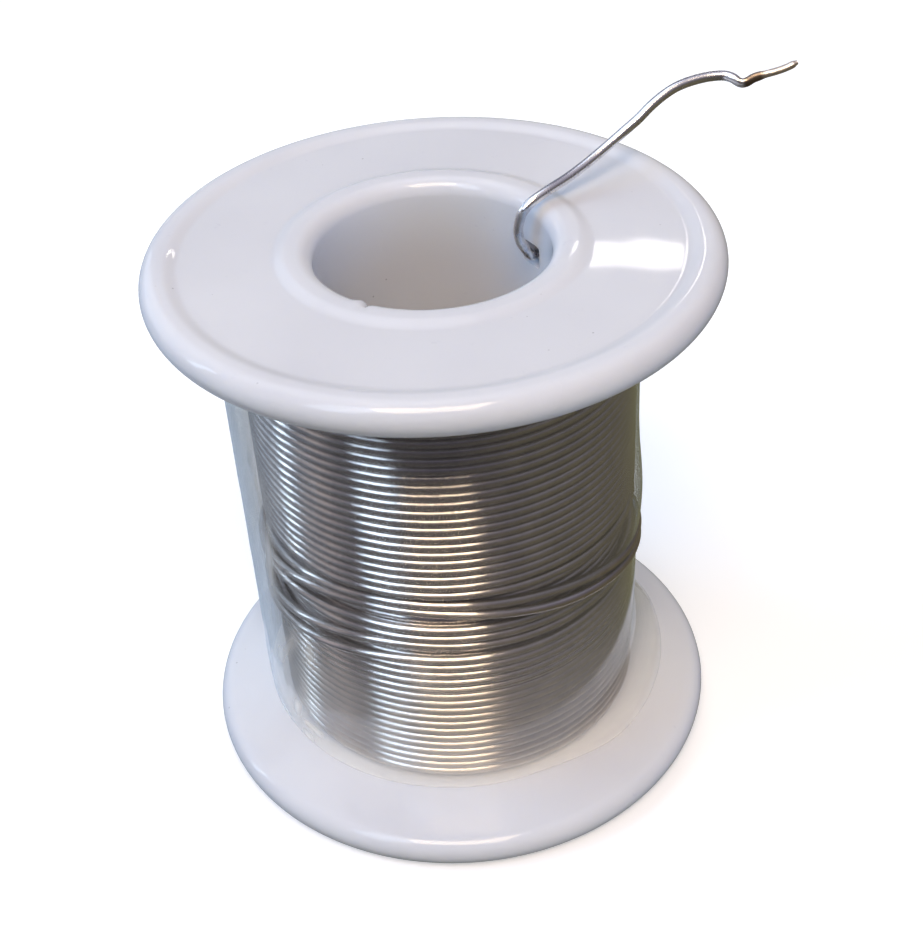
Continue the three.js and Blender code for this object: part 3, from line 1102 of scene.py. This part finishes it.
def painted_glint_folds(azimuths, radius, heights):
    """How strong the painted glints along the folds are, from 0 to 1, on the same grid as the film's
    radius.
    """
    level = heights[:, None] / MM
    glint_folds = np.zeros_like(radius)
    for top_azimuth, top, bottom_azimuth, bottom, half_width, strength in PAINTED_GLINT_FOLDS:
        run = np.radians(bottom_azimuth - top_azimuth) * radius / MM
        drop = bottom - top
        across = np.radians(turned_by(azimuths, top_azimuth))[None, :] * radius / MM
        share = (across * run + (level - top) * drop) / (run**2 + drop**2)
        nearest = np.clip(share, 0, 1)
        away = np.hypot(across - nearest * run, level - top - nearest * drop)
        taper = 4 * nearest * (1 - nearest)
        glint_folds = np.maximum(glint_folds, strength * taper * bump(away, 0, half_width))
    return glint_folds


def film_hem(azimuths):
    """The radii and heights of the film's hem, which lies on the lower flange."""
    hem = along(HEM_RADII, azimuths) * MM
    closed = np.concatenate([hem[-HEM_SOFTENING:], hem, hem[:HEM_SOFTENING]])
    count = 2 * HEM_SOFTENING + 1
    hem = np.convolve(closed, np.ones(count) / count, mode="valid")
    return hem, web_depth(hem) + HEM_LIFT


def film_radius(coil, azimuths, heights, hem, hem_height):
    """The radius of the film's inner face, on a grid of heights by azimuths."""
    tight = np.roll(wrapped_radius(coil, heights), FILM_COLUMNS // 2, axis=1)
    loose = OUTER_LAYER + WIRE_RADIUS + FILM_GAP + film_slack(azimuths, heights)
    radius = np.maximum(tight + TIGHT_GAP, loose) + film_creases(azimuths, heights)
    flare_height = hem_height + FLARE_LEAST + FLARE_GROWTH * (hem - FLARE_FROM)
    drop = flare_height[None, :] - heights[:, None]
    share = smoothstep(drop / (flare_height - hem_height)[None, :])
    return radius + (hem[None, :] - radius) * share**FLARE_CURVE


def film_points(azimuths, heights, radius):
    """Points of the film's outer face and then of its inner face, row by row from the top."""
    directions = np.radians(azimuths)
    points = []
    for offset in (FILM_THICKNESS, 0):
        for row, height in enumerate(heights):
            radii = radius[row] + offset
            level = np.maximum(height, web_depth(radius[row]) + HEM_CLEARANCE + offset)
            points.extend(zip(radii * np.cos(directions), radii * np.sin(directions), level))
    return points


def film_faces():
    """Faces of the film's outer and inner faces, and of its top and bottom edges."""
    inner = FILM_ROWS * FILM_COLUMNS
    faces = grid_faces(FILM_ROWS, FILM_COLUMNS)
    faces += [face[::-1] for face in grid_faces(FILM_ROWS, FILM_COLUMNS, inner)]
    for row in (0, FILM_ROWS - 1):
        for column in range(FILM_COLUMNS):
            this = row * FILM_COLUMNS + column
            after = row * FILM_COLUMNS + (column + 1) % FILM_COLUMNS
            faces.append((this, after, inner + after, inner + this))
    return faces


def make_film(material, coil):
    """The shrink film. Its outer face says how strong the painted glints along its folds are, as
    milkiness, in an attribute.
    """
    azimuths = np.linspace(-180, 180, FILM_COLUMNS, endpoint=False)
    hem, hem_height = film_hem(azimuths)
    heights = np.linspace(FILM_TOP, float(hem_height.min()), FILM_ROWS)
    radius = film_radius(coil, azimuths, heights, hem, hem_height)
    glint_folds = painted_glint_folds(azimuths, radius, heights)
    radius = radius + glint_folds * FOLD_RIDGE
    piece = new_object("shrink_wrap", film_points(azimuths, heights, radius), film_faces())
    outward(piece)
    # The painted glints, on the outer face only.
    painted_glint_milk = np.concatenate([glint_folds.ravel(), np.zeros(glint_folds.size)])
    attribute = piece.data.attributes.new("painted_glint", "FLOAT", "POINT")
    attribute.data.foreach_set("value", painted_glint_milk.astype(np.float32))
    piece.visible_shadow = False
    return ready(piece, material, "film", "shrink_film")


# ---------------------------------------------------------------- floor and light


def make_floor():
    """A plain floor that neither lights the spool nor shows in its gloss."""
    corners = [(x * FLOOR_HALF, y * FLOOR_HALF, 0) for x, y in ((-1, -1), (1, -1), (1, 1), (-1, 1))]
    floor = new_object("floor", corners, [(0, 1, 2, 3)])
    floor.data.materials.append(floor_material())
    floor.visible_glossy = False
    floor.visible_diffuse = False


def softbox(name, azimuth, elevation, distance, size, brightness, colour):
    """A rectangular light aimed at the middle of the spool, which the camera doesn't see."""
    data = bpy.data.lights.new(name, "AREA")
    data.shape = "RECTANGLE"
    data.size, data.size_y = size
    data.energy = brightness * math.pi * size[0] * size[1]
    data.color = colour
    light = bpy.data.objects.new(name, data)
    a, e = math.radians(azimuth), math.radians(elevation)
    direction = Vector((math.cos(a) * math.cos(e), math.sin(a) * math.cos(e), math.sin(e)))
    light.location = Vector((0, 0, REEL_HEIGHT / 2)) + direction * distance
    light.rotation_euler = direction.to_track_quat("Z", "Y").to_euler()
    light.visible_camera = False
    bpy.context.scene.collection.objects.link(light)
    return light


def make_lights():
    """Windows and walls that only gloss shows, and fills that only matte shading shows."""
    for name, settings in GLOSS_LIGHTS.items():
        softbox(name, *settings).visible_diffuse = False
    for name, settings in MATTE_LIGHTS.items():
        softbox(name, *settings).visible_glossy = False


def room_side(world, rise, colours):
    """One side of the room: its colours from straight down to straight up."""
    ramp = add(world, "ValToRGB", {0: rise})
    stops = ramp.color_ramp.elements
    stops[0].color = (*colours[0], 1)
    stops[1].color = (*colours[-1], 1)
    for position, colour in zip(ROOM_STOPS, colours[1:-1]):
        stops.new(position).color = (*colour, 1)
    return ramp.outputs[0]


def make_world():
    """A dim room: dark in front, bluish on the left and behind it, olive and lavender right."""
    world = bpy.data.worlds.new("room")
    world.use_nodes = True
    world.node_tree.nodes.clear()
    direction = add(world, "TexCoord").outputs["Generated"]
    x, y, z = add(world, "SeparateXYZ", {0: direction}).outputs
    rise = remap(world, z, (-1, 1))
    front, back_left, back_right, right, left = (
        room_side(world, rise, colours)
        for colours in (ROOM_FRONT, ROOM_BACK_LEFT, ROOM_BACK_RIGHT, ROOM_RIGHT, ROOM_LEFT)
    )
    back = blend_colours(world, remap(world, x, BACK_MIDDLE), back_left, back_right)
    room = blend_colours(world, remap(world, y, FRONT_TO_BACK), front, back)
    room = blend_colours(world, remap(world, x, MIDDLE_TO_RIGHT), room, right)
    room = blend_colours(world, remap(world, x, MIDDLE_TO_LEFT), room, left)
    shade = add(world, "Background", {"Color": room})
    add(world, "OutputWorld", {"Surface": shade.outputs[0]})
    bpy.context.scene.world = world


# ---------------------------------------------------------------- the whole scene


def make_spool():
    plastic = milky_plastic()
    solder = drawn_solder()
    make_upper_half(plastic)
    make_lower_half(plastic)
    coil = outer_coil()
    make_outer_turns(solder, coil)
    for layer in range(1, WIRE_LAYERS):
        make_inner_turns(solder, layer)
    make_film(shrink_film_material(), coil)


make_camera()
make_tail()
make_spool()
make_floor()
make_lights()
make_world()
bpy.context.scene.view_settings.view_transform = "Standard"
